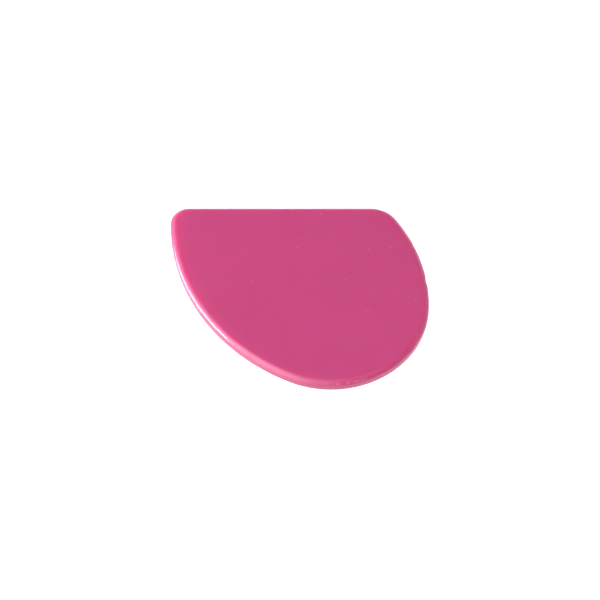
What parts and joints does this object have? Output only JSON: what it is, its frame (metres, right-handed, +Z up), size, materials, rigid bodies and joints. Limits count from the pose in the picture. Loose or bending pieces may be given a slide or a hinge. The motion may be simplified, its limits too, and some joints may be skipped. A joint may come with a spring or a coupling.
{
  "type": "spudger scraper",
  "caption": "Palm-sized one-piece polymer plate scraper with a straight edge, a long curved edge and a broad round nose, its rims rounded for pushing, lifting and smoothing.",
  "frame": {"origin": "under the middle of the outline's bounding box, on the flat underside that the plate rests on", "axes": "+X along the straight edge towards the broad nose, +Y towards the straight edge, +Z up out of the top face"},
  "size_m": [0.1, 0.083, 0.0056],
  "materials": {
    "magenta_polymer": "smooth gloss, slightly translucent, solid magenta-pink through the whole piece"
  },
  "bodies": {
    "root": {"scraper_plate": "magenta_polymer"}
  },
  "joints": []
}
